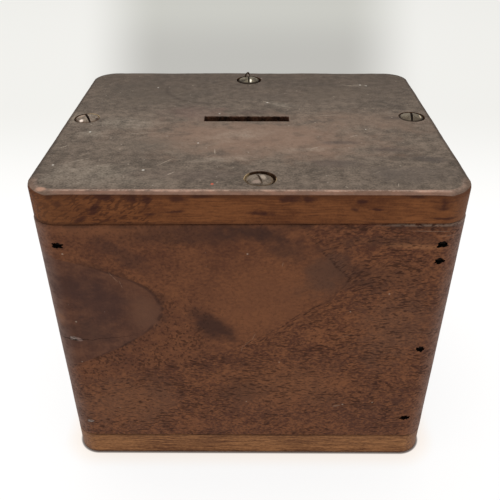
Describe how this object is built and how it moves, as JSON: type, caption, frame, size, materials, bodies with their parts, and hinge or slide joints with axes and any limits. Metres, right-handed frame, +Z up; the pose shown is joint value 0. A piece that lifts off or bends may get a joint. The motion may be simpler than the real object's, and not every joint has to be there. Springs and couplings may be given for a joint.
{
  "type": "ballot box",
  "caption": "Small nailed hardwood box with a slot in its thick lid, which slotted wood screws hold down in the middle of each side.",
  "frame": {"origin": "centre of the underside, where the box stands", "axes": "+X right along the width as seen from the front, +Y to the back, +Z up"},
  "size_m": [0.14, 0.117, 0.123],
  "materials": {
    "lid_wood": "worn, dull",
    "panel_wood": "old satin polish",
    "base_wood": "old satin polish",
    "screw_metal": "tarnished",
    "brad_iron": "rusted black"
  },
  "bodies": {
    "carcass": {"base": "base_wood", "front_panel": "panel_wood", "back_panel": "panel_wood", "left_end": "panel_wood", "right_end": "panel_wood", "front_brad_left_top": "brad_iron", "front_brad_left_middle": "brad_iron", "front_brad_left_bottom": "brad_iron", "front_brad_right_top": "brad_iron", "front_brad_right_extra": "brad_iron", "front_brad_right_middle": "brad_iron", "front_brad_right_bottom": "brad_iron", "back_brad_left_top": "brad_iron", "back_brad_left_middle": "brad_iron", "back_brad_left_bottom": "brad_iron", "back_brad_right_top": "brad_iron", "back_brad_right_middle": "brad_iron", "back_brad_right_bottom": "brad_iron", "base_brad_left_end": "brad_iron", "base_brad_right_end": "brad_iron", "base_brad_front_left": "brad_iron", "base_brad_front_middle": "brad_iron", "base_brad_front_right": "brad_iron", "base_brad_back_left": "brad_iron", "base_brad_back_middle": "brad_iron", "base_brad_back_right": "brad_iron"},
    "lid": {"lid": "lid_wood"},
    "front_screw": {"lid_screw_front": "screw_metal"},
    "back_screw": {"lid_screw_back": "screw_metal"},
    "left_screw": {"lid_screw_left": "screw_metal"},
    "right_screw": {"lid_screw_right": "screw_metal"}
  },
  "joints": [
    {"name": "lid_lift", "type": "slide", "parent": "carcass", "child": "lid", "axis": [0, 0, 1], "range_m": [0, 0.06]},
    {"name": "front_screw_draw", "type": "slide", "parent": "lid", "child": "front_screw", "axis": [0, 0, 1], "range_m": [0, 0.035]},
    {"name": "back_screw_draw", "type": "slide", "parent": "lid", "child": "back_screw", "axis": [0, 0, 1], "range_m": [0, 0.035]},
    {"name": "left_screw_draw", "type": "slide", "parent": "lid", "child": "left_screw", "axis": [0, 0, 1], "range_m": [0, 0.035]},
    {"name": "right_screw_draw", "type": "slide", "parent": "lid", "child": "right_screw", "axis": [0, 0, 1], "range_m": [0, 0.035]}
  ]
}
